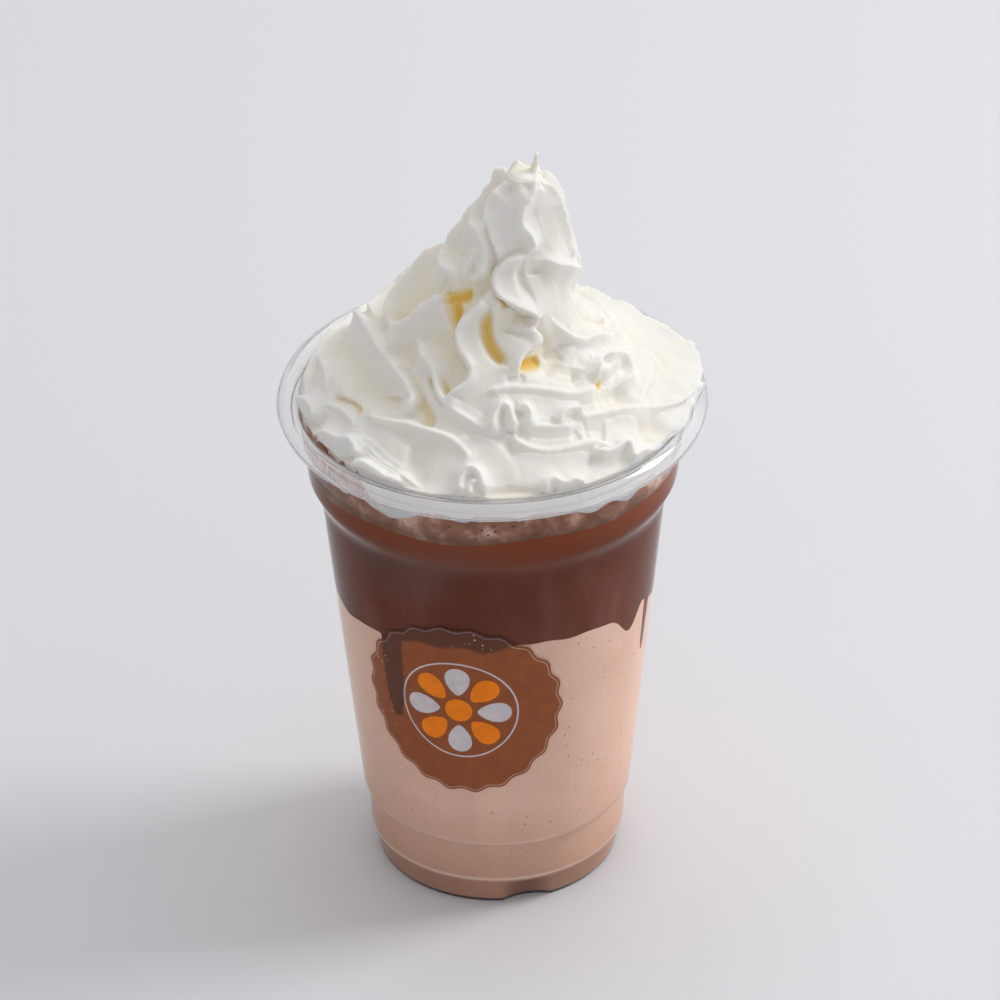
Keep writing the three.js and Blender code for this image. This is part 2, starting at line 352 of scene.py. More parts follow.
def coffee():
    m = Nodes("milky_coffee")
    where = m.place()
    clouds = m.noise(where, 45, 4, 0.55)
    colour = m.ramp(clouds, [(0.3, (0.83, 0.53, 0.40)), (0.7, (0.92, 0.62, 0.48))])
    fine = m.noise(where, 900, 3, 0.6)
    colour = m.mix(m.spread(fine, 0.45, 0.75, 0, 0.35), colour, (0.92, 0.73, 0.63))
    colour = m.mix(m.specks(where, 330, 0.1, 0.7), colour, (0.42, 0.24, 0.17))
    colour = m.mix(m.specks(m.place((1.3, 1.3, 1.1)), 520, 0.1, 0.5), colour, (0.36, 0.19, 0.13))
    colour = m.mix(m.specks(m.place((0.9, 1.1, 1.0)), 620, 0.18, 0.05), colour, (0.9, 0.76, 0.68))
    level = m.height(where)
    # Painted shade: the drink turns darker and browner towards the bottom of the cup
    low = m.spread(level, 30 * MM, 8 * MM, 0, 0.75)
    colour = m.mix(low, colour, (0.58, 0.32, 0.22))
    # Painted highlight: pale lines at the heights of the two ledges, where the ledges catch the light
    for highlight_ledge_height, share in ((7.3, 0.55), (18.3, 0.35)):
        off = m.math("ABSOLUTE", m.math("SUBTRACT", level, highlight_ledge_height * MM))
        colour = m.mix(m.spread(off, 0.7 * MM, 0.2 * MM, 0, share), colour, (0.98, 0.78, 0.66))
    # Painted shade: the drink in the hollow of the foot ring is darkened, for the shade under the cup's floor
    foot = m.spread(level, 7.4 * MM, 5.8 * MM, 0, 0.6)
    colour = m.mix(foot, colour, (0.36, 0.185, 0.125))
    # Painted shade: the drink is darker where the flutes press the foot ring in
    pressed = m.add("Attribute", attribute_name="pressed")
    colour = m.mix(m.math("MULTIPLY", pressed.outputs["Fac"], 0.6), colour, (0.17, 0.09, 0.065))
    m.colour(colour)
    m.set(Roughness=0.5, IOR=1.35, Specular_IOR_Level=0.1)
    m.bump(fine, 0.03, 0.2)
    return m.material


def chocolate():
    m = Nodes("chocolate_sauce")
    where = m.place()
    tall = m.place((1.0, 1.0, 0.35))
    streaks = m.noise(tall, 70, 4, 0.6)
    colour = m.ramp(streaks, [
        (0.3, (0.13, 0.032, 0.014)), (0.55, (0.165, 0.046, 0.024)), (0.75, (0.22, 0.08, 0.055)),
    ])
    # Painted reflection: hazy lilac-grey patches over the sauce, for reflections in the cup's wall
    painted_reflection_patches = m.noise(m.place((1.0, 1.0, 0.7)), 28, 2, 0.4)
    colour = m.mix(m.spread(painted_reflection_patches, 0.56, 0.74, 0, 0.6), colour, (0.16, 0.1, 0.1))
    level = m.height(where)
    # Painted light: the sauce glows rust-red towards its top, fading downwards
    painted_top_glow = m.spread(level, 99 * MM, 108 * MM, 0, 0.85)
    colour = m.mix(painted_top_glow, colour, (0.27, 0.062, 0.02))
    m.colour(colour)
    m.set(Roughness=0.5, IOR=1.45, Specular_IOR_Level=0.05)
    m.bump(streaks, 0.03, 0.2)
    return m.material


def foam():
    m = Nodes("coffee_foam")
    where = m.place()
    patches = m.noise(where, 120, 4, 0.6)
    colour = m.ramp(patches, [
        (0.38, (0.22, 0.085, 0.048)), (0.52, (0.38, 0.18, 0.115)), (0.66, (0.8, 0.54, 0.42)),
    ])
    colour = m.mix(m.specks(where, 700, 0.26, 0.18), colour, (0.07, 0.035, 0.022))
    low = m.spread(m.height(where), 111.5 * MM, 109.5 * MM, 0, 0.7)
    colour = m.mix(low, colour, (0.15, 0.085, 0.055))
    m.colour(colour)
    m.set(Roughness=0.55, Specular_IOR_Level=0.1)
    m.bump(m.noise(where, 1100, 3, 0.6), 0.1, 0.5)
    return m.material


def smear():
    m = Nodes("sauce_smear")
    patches = m.noise(m.place(), 320, 3, 0.6)
    colour = m.ramp(patches, [(0.4, (0.42, 0.16, 0.08)), (0.62, (0.72, 0.45, 0.34))])
    m.colour(colour)
    m.set(Roughness=0.5, Specular_IOR_Level=0.2)
    m.bump(patches, 0.05, 0.5)
    return m.material


def whipped_cream():
    m = Nodes("whipped_cream")
    where = m.place()
    depth = m.add("Attribute", attribute_name="painted_crease_shade_glow")
    # Painted shade and glow: the colour turns warm and golden in the creases and hollows, for the light the
    # cream lets into them
    colour = m.ramp(depth.outputs["Fac"], [
        (0.0, (0.945, 0.918, 0.878)), (0.2, (0.945, 0.895, 0.82)), (0.42, (0.95, 0.85, 0.67)),
        (0.7, (1.0, 0.78, 0.34)), (1.0, (1.0, 0.62, 0.13)),
    ])
    m.colour(colour)
    m.set(Roughness=0.45, IOR=1.4, Specular_IOR_Level=0.35, Subsurface_Weight=0.7, Subsurface_Scale=1.2 * MM)
    m.shader.inputs["Subsurface Radius"].default_value = (1.0, 0.8, 0.5)
    fine = m.noise(where, 700, 4, 0.55)
    soft = m.noise(where, 170, 3, 0.5)
    m.bump(m.math("ADD", m.math("MULTIPLY", soft, 6.0), fine), 0.06, 0.4)
    return m.material


def print_ink(name, colour, cover, bubbles=0.0):
    """Ink on the clear sticker film, darker where the sauce lies behind it."""
    m = Nodes(name)
    where = m.place()
    grain = m.noise(where, 380, 3, 0.6)
    dark = tuple(0.86 * c for c in colour)
    plain = m.mix(m.spread(grain, 0.35, 0.65), dark, colour)
    behind = m.math("MULTIPLY", m.add("Attribute", attribute_name="sauce_behind").outputs["Fac"], SAUCE_SHADE)
    deep = tuple(c * k for c, k in zip(colour, (0.3, 0.38, 0.7)))
    inked = m.mix(behind, plain, deep)
    clusters = m.spread(m.noise(where, 55, 2, 0.5), 0.56, 0.66, 0.0, bubbles)
    spots = m.math("MULTIPLY", clusters, m.specks(where, 1000, 0.3, 0.35))
    m.colour(m.mix(spots, inked, (0.75, 0.6, 0.52)))
    m.set(Roughness=0.35, Specular_IOR_Level=0.2, Alpha=cover)
    m.bump(grain, 0.01, 0.3)
    return m.material


# The cup

def offset_line(line, away):
    """The line moved sideways, to its left, by the given distance."""
    points = np.array(line, float)
    step = np.gradient(points, axis=0)
    step /= np.linalg.norm(step, axis=1, keepdims=True)
    return [tuple(p) for p in points + away * np.stack([-step[:, 1], step[:, 0]], axis=1)]


def rounded_line(line, spacing):
    """The line through the given points, drawn as a smooth curve with even steps."""
    points = np.array(line, float)
    run = np.concatenate([[0.0], np.cumsum(np.linalg.norm(np.diff(points, axis=0), axis=1))])
    extended = np.vstack([2 * points[0] - points[1], points, 2 * points[-1] - points[-2]])
    curve = []
    spans = zip(extended, extended[1:], extended[2:], extended[3:], np.diff(run))
    for before, start, end, after, length in spans:
        count = max(1, int(round(length / spacing)))
        t = (np.arange(count) / count)[:, None]
        pull = 0.5 * np.array([end - before, after - start])
        limit = np.linalg.norm(end - start)
        for k in range(2):
            pull[k] *= min(1.0, limit / max(1e-9, np.linalg.norm(pull[k])))
        curve.append((2 * t**3 - 3 * t**2 + 1) * start + (t**3 - 2 * t**2 + t) * pull[0]
                     + (-2 * t**3 + 3 * t**2) * end + (t**3 - t**2) * pull[1])
    return [tuple(p) for p in np.vstack(curve + [points[-1:]])]


def flute_depth(angle, height):
    pitch = 360.0 / FLUTES
    off = np.abs(turn_between(angle, FLUTE_TURN)) % pitch
    near = np.minimum(off, pitch - off) / FLUTE_HALF_WIDTH
    across = np.where(near < 1.0, np.cos(np.clip(near, 0, 1) * math.pi / 2) ** 0.8, 0.0)
    up = smooth_step((FLUTE_TOP - np.asarray(height)) / 1.2)
    return FLUTE_DEPTH * across * up


def press_flutes(obj):
    points = points_of(obj)
    radius = np.hypot(points[:, 0], points[:, 1])
    angle = angle_of(points)
    share = smooth_step((radius - (FOOT_INSIDE - 2.0)) / 2.0)
    pressed = radius - share * flute_depth(angle, points[:, 2])
    keep = radius > 1.0
    points[keep] = on_circle(angle, pressed, points[:, 2])[keep]
    move_points(obj, points)


FOOT_INSIDE = OUTER_WALL[0][0] - 0.9
OUTER_LINE = rounded_line(OUTER_WALL + RIM_CURL, 1.2)
INNER_LINE = offset_line(OUTER_LINE, WALL)
FLOOR_LINE = [
    (0.0, FLOOR - WALL), (8.0, FLOOR - WALL), (16.0, FLOOR - WALL), (FOOT_INSIDE - 0.7, FLOOR - WALL),
    (FOOT_INSIDE - 0.2, FLOOR - 1.0), (FOOT_INSIDE + 0.1, 0.4), (FOOT_INSIDE + 0.45, 0.05),
]
FLOOR_INSIDE = [
    (FOOT_INSIDE + 0.6, 0.6), (FOOT_INSIDE + 0.3, FLOOR - 0.7), (FOOT_INSIDE - 0.5, FLOOR), (16.0, FLOOR),
    (8.0, FLOOR), (0.0, FLOOR),
]


def inner_radius(height):
    rows = [p for p in INNER_LINE[: len(INNER_LINE) - len(RIM_CURL) * 2] if p[1] > 0.5]
    return read_off(rows, height)


def make_cup():
    inner_wall = [p for p in INNER_LINE if p[1] > 0.55 or p[0] > 40][::-1]
    outline = FLOOR_LINE + OUTER_LINE + inner_wall + FLOOR_INSIDE
    cup = turned("cup_shell", outline, CUP_STEPS)
    press_flutes(cup)
    smooth(cup, 40)
    finished(cup, "cup", clear_plastic("clear_plastic", 1.0, 0.15))
    cup.data.materials.append(clear_plastic("rim_plastic", 0.9, 0.9))
    for face in cup.data.polygons:
        if face.center.z > RIM_FOOT * MM:
            face.material_index = 1


# The drink's layers

def sauce_edge(angle):
    level = SAUCE_EDGE + 0.35 * np.sin(np.radians(angle * 11 + 20)) + 0.25 * np.sin(np.radians(angle * 23))
    for middle, width, depth in SAUCE_LOBES:
        level = level - depth * hump(angle, middle, width)
    for middle, width, lowest in SAUCE_RUNS:
        off = np.abs(turn_between(angle, middle)) / width
        run = np.sqrt(np.clip(1.0 - off**3, 0.0, 1.0))
        root = 3.0 * np.exp(-((off / 1.7) ** 2))
        level = level - root
        level = level - (level - lowest) * run
    return level


def sauce_top(angle):
    return SAUCE_TOP + 0.8 * np.sin(np.radians(2 * angle + 30)) + 0.5 * np.sin(np.radians(7 * angle))


def foam_top(angle):
    level = FOAM_TOP + 0.8 * wobble(angle / 12.0, 501, 30) + 0.3 * wobble(angle / 4.5, 502, 80)
    level = level + 0.12 * wobble(angle / 1.5, 503, 240)
    for middle, width, lower in FOAM_LUMPS:
        level = level - lower * hump(angle, middle, width)
    return level


def make_layer(name, lower, upper, heights, node, material):
    """A layer of the drink between two levels, reaching just into the wall all round."""
    rows = [(share, "lower") for share in RING_SHARES]
    rows += [(1.0, height) for height in heights]
    rows += [(share, "upper") for share in RING_SHARES[::-1]]
    outline = [(10.0 * share, float(i)) for i, (share, _) in enumerate(rows)]
    obj = turned(name, outline, LAYER_STEPS)
    points = points_of(obj)
    row_index = np.rint(points[:, 2]).astype(int)
    angle = angle_of(points)
    height = np.zeros(len(points))
    share = np.array([rows[i][0] for i in row_index])
    low, high = lower(angle), upper(angle)
    for i, (part, level) in enumerate(rows):
        here = row_index == i
        if level == "lower":
            height[here] = low.mean() + (low - low.mean())[here] * part**6
        elif level == "upper":
            height[here] = high.mean() + (high - high.mean())[here] * part**6
        else:
            height[here] = np.clip(level, low[here] + 0.05, high[here] - 0.05)
    radius = share * (inner_radius(height) + REACH)
    move_points(obj, on_circle(angle, radius, height))
    smooth(obj, 50)
    finished(obj, node, material)


def make_coffee():
    """The drink also fills the hollow of the foot ring, down to the pressed sheet."""
    line = [(p[0] + REACH, p[1]) for p in INNER_LINE if 0.6 < p[1] < 49.0 and p[0] < 45.0]
    foot = [(0.0, FLOOR - 0.15), (12.0, FLOOR - 0.15), (FOOT_INSIDE - 0.6, FLOOR - 0.15),
            (FOOT_INSIDE + 0.15, FLOOR - 0.8), (FOOT_INSIDE + 0.45, 0.45)]
    top = RING_SHARES[::-1]
    mark = 200.0
    outline = foot + line + [(36.5 * share, mark + i) for i, share in enumerate(top)]
    obj = turned("coffee_body", outline, LAYER_STEPS)
    points = points_of(obj)
    angle = angle_of(points)
    edge = sauce_edge(angle)
    for i, share in enumerate(top):
        here = np.abs(points[:, 2] - (mark + i)) < 0.5
        level = edge.mean() + (edge - edge.mean()) * share**6
        radius = share * (inner_radius(level) + REACH)
        points[here] = on_circle(angle, radius, level)[here]
    move_points(obj, points)
    press_flutes(obj)
    # How far each point lies in a flute, which the material reads to paint shade in the flutes
    outside = np.hypot(points[:, 0], points[:, 1]) > FOOT_INSIDE - 2.5
    edge = flute_depth(angle, points[:, 2]) * outside
    add_values(obj, "pressed", edge / FLUTE_DEPTH)
    smooth(obj, 50)
    finished(obj, "frappe", coffee())


# The cream: a leaning mound with crest lines laid over it

# The mound, as [height, shift to +X, radius on the low side, radius on the high side]
MOUND = [
    (185.6, 10.6, 0.4, 0.4), (185.3, 10.6, 0.5, 0.5), (184.4, 10.5, 0.6, 0.6), (183.5, 9.9, 1.4, 1.5),
    (182.9, 8.3, 3.8, 4.2), (182.2, 7.6, 5.6, 6.0), (180.5, 7.9, 6.6, 7.3), (176, 8.0, 9.0, 10.2),
    (170, 7.0, 10.8, 13.9), (163, 6.5, 12.8, 19.2), (157, 6.0, 14.2, 23.6), (150, 5.0, 16.5, 28.6),
    (142, 4.0, 21.5, 33.6), (136, 3.0, 28.0, 38.0), (131, 2.0, 35.0, 42.0), (127, 1.0, 40.5, 44.8),
    (123.8, 0.0, 45.6, 46.4),
]
HIGH_SIDE = -112.0
MOUTH_RADIUS = 44.3
RIM_TOP = 122.6
# The cream's lowest folds, and where the collar under them meets the wall
FOLDS_LOWEST = 119.0
COLLAR_FOOT = 117.2
CREAM_STEPS = 640
CREAM_LEVELS = 420
CREAM_TRIANGLES = 195000
# The deepest fold, the deepest at the mouth, and how far two folds blend where they meet
DEEPEST = 8.5
MOUTH_DEPTH = 2.4
VALLEY = 1.3
SOFTENINGS = 2
# The teeth along a crest and the torn lumps all over, as [size, height, seed of the random numbers]
TEETH = [(3.1, 1.0, 0), (1.3, 0.7, 99), (0.7, 0.4, 199)]
TORN_LUMPS = [(5.0, 0.6, 11), (2.1, 0.22, 12), (1.0, 0.06, 13)]
# A crest is rounded on a plan where one degree is this long, in millimetres
PLAN_DEGREE = 0.35
# The hollow round the foot of the drawn-out tip: its place along X, its half width and depth
TIP_HOLLOW = (10.4, 3.4, 2.0)
# Where the cream lies out over the rim: [angle, half width in degrees, how far]
SPILL = [(98, 30, 6.4), (-62, 14, -1.6)]

# A side of a crest, as [how deep it falls, over what width]: a broad face or a steep back
FACE = (9.0, 13.0)
BACK = (7.0, 1.9)


def fold(points, left=BACK, right=FACE, fade=(0.12, 0.12), **more):
    """A crest line over the mound through [angle, height] points, with the fall of the cream on its left
    and on its right, and the shares of its length over which its two ends fade out."""
    usual = dict(lean=0.0, droop=0.8, ruffle=0.22, sag=0.0, lip=0.9, round=0.25)
    return dict(usual, points=points, left=left, right=right, fade=fade, **more)


def knot(points, **more):
    """A tight little loop where the ribbon of cream has buckled."""
    side, fade = (3.2, 1.0), (0.15, 0.15)
    shape = dict(left=side, right=side, fade=fade, droop=0.0, sag=-0.6, lip=0.3, round=0.35)
    return fold(points, **{**shape, **more})


FOLDS = [
    # The peak: its front crest, its lip, and the lobe below it
    fold([(60, 183.2), (44, 182.7), (18, 179.4), (-1, 176), (-2, 173.4), (13, 170.3), (17, 168),
         (10, 166.4), (0, 165.6)], (3.4, 3.4), (3.2, 5.0), (0.02, 0.2), lip=0.7),
    fold([(17, 167.2), (10, 166.3), (-2, 165.8), (-14, 165), (-21, 162.8), (-20.5, 160.5), (-14, 158),
         (-2, 156), (11, 154), (19, 152.4), (21, 151.4), (18, 150.2), (12, 149.8)], (3.2, 3.6), BACK,
         (0.15, 0.16), lean=0.9, droop=0.9, round=0.35, ruffle=0.05),
    fold([(10, 150.4), (19.5, 148.8), (23, 147.8), (22, 146.8), (12.4, 146.2), (7, 144.7), (6, 142.8),
         (8.5, 141)], BACK, (7.0, 8.0), (0.15, 0.2), lean=-0.8, droop=1.0, round=0.4),
    # The left edge of the peak's front
    fold([(-66, 180.6), (-66, 178.9), (-67, 177.5), (-67, 175.5), (-58, 173.4), (-45, 171.7), (-33, 169.4),
         (-24, 167.3), (-20, 165)], (3.0, 5.0), (7.0, 2.4), (0.16, 0.15), lip=0.5, round=0.5),
    # The right edge of the peak
    fold([(50, 182.6), (58, 181.4), (70, 179), (76, 176.5), (73, 173.5), (80, 169), (83, 165), (79, 161.5),
         (74, 158)], (5.0, 3.5), (3.2, 6.0), (0.03, 0.12), ruffle=0.35),
    fold([(110, 182.5), (114, 177), (104, 170), (112, 163), (100, 156), (106, 149)], (6.0, 6.0), (4.0, 3.0),
         (0.05, 0.1), ruffle=0.3),
    # The lobe under the right edge
    fold([(22, 164.2), (34, 163.6), (48, 161.6), (62, 160), (74, 157.8), (90, 155.5), (100, 152)],
         (2.6, 2.6), (7.0, 9.0), (0.3, 0.2), lip=0.35, droop=0.4),
    fold([(98, 151), (91.4, 148.5), (75.2, 148.2), (63.7, 147.5), (51.8, 146.5), (40.8, 145.4),
         (32.8, 144.3)], (4.0, 2.4), (3.0, 6.0), (0.2, 0.3), sag=2.6, lip=0.1, droop=0.3),
    # Behind the peak's left edge
    fold([(-120, 182.5), (-104, 177), (-88, 172.5), (-76, 170.6), (-56, 170.1), (-40, 168), (-33, 165.7),
         (-34, 162.5), (-42, 160.8)], (6.0, 1.8), (7.0, 9.0), (0.06, 0.12), ruffle=0.5),
    fold([(-54, 167.7), (-50.6, 164.3), (-51, 161.7), (-43, 161)], (3.5, 2.5), (3.0, 2.5), (0.25, 0.25),
         sag=1.4, ruffle=0.5),
    fold([(-118, 174), (-98, 168), (-86, 163), (-74, 161), (-64, 161), (-55, 160)], (6, 2), (7, 9),
         (0.1, 0.15), ruffle=0.6, sag=0.4),
    # The lobe left of the peak's foot, with its torn top edge
    fold([(-57, 156.6), (-60, 155), (-62.3, 153.8), (-65.6, 152), (-68.9, 149.3), (-71.6, 146.5),
         (-70.2, 144.1), (-66, 141.8)], (7.0, 9.0), (6.0, 1.8), (0.08, 0.15), ruffle=0.7, droop=0.4),
    # The ribbon that waves down in front of it
    fold([(-22.8, 158.3), (-26.4, 156.5), (-30, 154.8), (-35, 152.3), (-35, 149.9), (-31.3, 147.6),
         (-25.2, 145.4), (-21, 143.6), (-20.5, 141.7), (-24, 140.2), (-28, 139.2), (-31, 138.6)],
         (5.0, 6.0), BACK, (0.08, 0.12), lean=1.0, droop=0.6, round=0.5),
    # The torn fan on the high left side
    fold([(-125, 131.5), (-112, 137), (-98, 140.5), (-84, 142.1), (-74.6, 141.8), (-67.6, 141.6),
         (-61.6, 141.2), (-51.4, 139.9), (-44.3, 138.3), (-41, 137.1), (-41.5, 135.6), (-45, 133.8)], BACK,
         (8.0, 10.0), (0.1, 0.08), ruffle=0.6),
    fold([(-112, 160), (-100, 153), (-92, 148), (-86, 146), (-80, 145.2)], (6, 2), (7, 8), (0.15, 0.2),
         ruffle=0.5, sag=0.3),
    fold([(-150, 150), (-136, 146), (-124, 142), (-112, 140.6), (-102, 141.5)], (6, 2), (7, 8), (0.15, 0.2),
         ruffle=0.6, sag=0.3),
    # The long ribbon that sweeps from the left round the front
    fold([(-56, 146.4), (-49.5, 144.9), (-42, 143.4), (-37.7, 141.9), (-34, 140.1), (-29.8, 138.6),
         (-24.3, 137.3), (-19.2, 136.3), (-14, 135.5), (-9.9, 134.8), (-5, 134), (2, 133.4)], (6.5, 2.2),
         (7.5, 10.0), (0.1, 0.08), lean=0.5),
    fold([(6, 134.4), (10.5, 134.2), (15, 134), (21, 133.4), (27, 132.9), (33, 132.4)], (4.0, 1.6),
         (5.0, 6.0), (0.15, 0.2)),
    # The broad leaf at the front left, and the low one at the front
    fold([(-56, 131.4), (-50, 132.4), (-44, 133), (-38, 133.5), (-31.8, 133.5), (-25.3, 133.2),
         (-19.6, 132.7), (-15.2, 131.8), (-12, 130.8), (-10.4, 129.8), (-11, 128.4), (-12, 127.2),
         (-10, 125.6)], (6.5, 2.2), (8.5, 12.0), (0.1, 0.08), lean=0.4, ruffle=0.15),
    fold([(2, 133.2), (7.2, 132), (12.4, 130.9), (19, 130.1), (27, 129.8), (33, 129.6), (36.4, 129.3),
         (42, 127.6), (49, 125.8), (56, 124.4), (63, 123.4)], (5.5, 2.0), (8.0, 12.0), (0.06, 0.12),
         lean=0.4),
    # The crests across the front right
    fold([(-12, 139.6), (-5.3, 140.4), (0.7, 140.5), (8.5, 140.1), (16.5, 139.5), (24.4, 138.6),
         (32, 137.4), (38.4, 136.6), (47, 136.2), (54, 135.6)], (5.5, 2.2), (8.0, 11.0), (0.1, 0.15)),
    fold([(30, 134.4), (35, 133.4), (40.6, 133), (45, 132.6), (53, 131.8), (61.7, 130.6), (70, 128.9),
         (79, 126.4), (88, 124.4), (97, 123.4)], (5.5, 2.2), (8.5, 12.0), (0.08, 0.1), lean=0.4),
    fold([(38, 150), (50, 145.5), (62, 143), (76, 141.6), (92, 138.6), (108, 136.6), (122, 135)],
         (5.5, 2.2), (7.5, 9.0), (0.15, 0.1), ruffle=0.4),
    fold([(46, 138.4), (61, 137.6), (72, 136.9), (81, 135.9), (90, 134.4), (97, 132.7), (94, 132.0),
         (82.7, 131.8), (70, 131.3), (64, 130.8)], (5.0, 2.0), (4.0, 7.0), (0.15, 0.12), ruffle=0.35),
    fold([(98, 139.5), (106, 140.4), (114, 138.5), (111, 136)], (3, 1.4), (3, 1.4), (0.2, 0.2), ruffle=0.4),
    fold([(112, 137), (122, 137.4), (128, 134.5)], (3, 1.4), (3, 1.6), (0.2, 0.2), ruffle=0.4),
    fold([(40, 141), (50, 139.6), (58, 140.2), (66, 140.6)], (4, 2), (5, 5), (0.3, 0.3), sag=1.0),
    # Lobes along the rim at the left
    fold([(-78, 125.6), (-75, 127.6), (-68, 129.4), (-60, 129.6), (-54, 128.8), (-48, 128.2)], (4.5, 1.8),
         (6.5, 8.0), (0.12, 0.2)),
    fold([(-70, 123.5), (-63, 124.8), (-57, 125.9), (-54, 127), (-47, 127.9), (-42, 127.3), (-35, 126.5),
         (-29, 125.8), (-22, 124.6)], (4.5, 1.8), (6.0, 6.0), (0.1, 0.15), ruffle=0.4),
    fold([(-104, 128), (-96, 130.5), (-88, 131.6), (-82, 131), (-76, 129.6)], (4.5, 2), (6.5, 8),
         (0.2, 0.2), ruffle=0.5),
    knot([(-66, 123.6), (-62, 125.6), (-56, 126.1), (-52, 127.2), (-47, 126.4), (-46, 124.6)], left=(3, 2),
         right=(3.4, 2.4), ruffle=0.4),
    knot([(-47, 123.8), (-43, 125.2), (-38, 125.2), (-32.5, 124.6), (-27, 124.8)], left=(3, 1.6),
         right=(3.4, 2.6), ruffle=0.4),
    knot([(-84, 124.4), (-80, 126.4), (-74, 126.9), (-69, 125.6)], left=(3, 1.6), right=(3.4, 2.4),
         ruffle=0.5),
    # Knots where the ribbon buckled
    knot([(-5, 133.4), (-4.4, 136.3), (-2.2, 137.6), (1, 137.2), (3.6, 134.8), (5, 133.2)]),
    knot([(5.4, 136.6), (8.5, 137), (11, 135.6), (10.4, 133.8)]),
    knot([(23, 133.4), (25, 134.4), (30, 134.8), (37.6, 134)], sag=-0.2),
    knot([(-9, 123.8), (-11, 126.2), (-9.4, 128.2), (-6.4, 127.7), (-4, 126), (-2.5, 124.2)]),
    knot([(-6.8, 124), (-7.6, 126), (-5.5, 126.4)], sag=-0.2),
    knot([(14.5, 123.6), (15.5, 125.3), (18, 125.6), (20.4, 124.6), (22, 124.6), (24.6, 124.8),
         (28, 123.2)], sag=-1.0),
    knot([(35, 129.4), (35, 127.6), (38.6, 126.9), (42.7, 127), (46.6, 127), (45.8, 124.8), (49, 125),
         (55.5, 123.9)]),
    knot([(50, 135.6), (55.5, 138.2), (62.4, 139.2), (70.5, 138.2), (77, 136.4), (77, 134.8), (72, 133.8),
         (64, 134), (57, 134.6)], left=(3.2, 1.4), right=(4.0, 1.4), sag=0.0),
    # The back of the peak and the rings behind it
    fold([(-165, 183), (-155, 176), (-165, 169), (-150, 163), (-158, 156), (-146, 150), (-150, 143)],
         (4.6, 3), (6, 7), (0.06, 0.1)),
    fold([(150, 183), (160, 177), (148, 170), (156, 164), (142, 157), (150, 150), (140, 144)], (4.6, 3),
         (6, 7), (0.06, 0.1)),
    fold([(118, 138), (135, 135.5), (155, 133.5), (175, 134.5), (195, 137), (212, 141), (224, 145)],
         (6, 2.2), (8, 11), (0.1, 0.1), ruffle=0.3),
    fold([(128, 148), (146, 145), (165, 146), (184, 143.5), (200, 139), (214, 134), (228, 129)], (6, 2.2),
         (8, 11), (0.1, 0.1), ruffle=0.3),
    fold([(60, 123.6), (70, 124.2), (80, 125.2), (88, 126.3), (96, 127.0), (104, 128.1), (112, 129),
         (122, 130), (132, 130.6), (146, 129.2), (160, 127.4), (178, 126.4), (190, 125.4)], (5.0, 9.0),
         (5.0, 2.6), (0.06, 0.1), ruffle=0.6, droop=0.2),
    fold([(-184, 130), (-176, 131), (-164, 128.8), (-150, 127), (-136, 125.5), (-120, 124.6)], (5.5, 2),
         (6, 7), (0.1, 0.1), ruffle=0.3),
    fold([(-134, 126.4), (-128, 128), (-114, 128.6), (-100, 127.6), (-88, 125.6)], (5.5, 2), (6, 7),
         (0.15, 0.15), ruffle=0.4),
]
# Hollows and grooves between the folds: points along each as [angle, height], half width, depth, and how
# strongly the painted golden glow shows in the hollow
HOLLOWS = [
    ([(-57.5, 155.8), (-51, 156.4), (-44, 157.2)], 1.6, 4.5, 1.0),
    ([(-49, 155), (-45, 153.6), (-42, 152.4)], 1.6, 4.5, 1.0),
    ([(-21.1, 155.6), (-19.8, 152.8), (-16.8, 150), (-11.2, 147.4), (-5.6, 145.6)], 1.5, 4.6, 0.85),
    ([(-10.4, 157.3), (-7, 155.6)], 1.0, 1.6, 0.8),
    ([(-37.4, 141.3), (-33.6, 140.2), (-29.4, 138.9)], 1.8, 5.0, 1.0),
    ([(-54.1, 140.6), (-48.6, 139.5), (-41.8, 137.9), (-35.8, 136.2), (-31.6, 135.1)], 1.3, 2.2, 0.5),
    ([(-70.5, 130), (-66, 130.5), (-60.5, 130.7)], 1.5, 4.0, 1.0),
    ([(9.7, 143.4), (15.9, 143.4), (21, 143.4)], 1.3, 3.0, 1.0),
    ([(23.8, 149.1), (26.1, 146), (23.4, 143.7)], 1.8, 1.2, 0.35),
    ([(56, 136.8), (66, 136.8), (72, 136.2)], 1.7, 1.6, 0.3),
    ([(51.5, 136), (54.5, 136.4)], 0.9, 2.0, 1.0),
    ([(107, 134.6), (109, 134.8)], 0.7, 1.0, 1.0),
    ([(2, 141.2), (7, 141.6)], 1.2, 2.4, 0.5),
    ([(30, 143.5), (38, 143.2)], 1.4, 2.0, 0.3),
    ([(2.9, 164.7), (5.5, 160.7), (15.2, 156.3), (20.8, 152.9), (26.4, 149.3), (30.5, 145.5)], 1.3, 1.7,
      0.05),
    ([(51, 146.2), (43, 144.2), (34, 142.8), (26, 141.9)], 1.4, 1.4, 0.15),
]


def smoothed(rows, spacing=0.1, width=1.4):
    """The rows as a dense table with its corners rounded off along the slope."""
    table = np.array(rows, float)
    slope = np.hypot(np.diff(table[:, 0]), np.diff(table[:, 2:].mean(axis=1)))
    run = np.concatenate([[0.0], np.cumsum(slope)])
    even = np.arange(0.0, run[-1], spacing)
    dense = np.stack([np.interp(even, run, column) for column in table.T], axis=1)
    reach = int(3 * width / spacing)
    weights = np.exp(-0.5 * (np.arange(-reach, reach + 1) * spacing / width) ** 2)
    before, after = 2 * dense[0] - dense[reach:0:-1], 2 * dense[-1] - dense[-2 : -reach - 2 : -1]
    padded = np.vstack([before, dense, after])
    soft = np.stack([np.convolve(column, weights / weights.sum(), "valid") for column in padded.T], axis=1)
    keep = smooth_step((even - 4.0) / 4.0)[:, None]
    return dense * (1 - keep) + soft * keep


SMOOTH_MOUND = smoothed(MOUND)


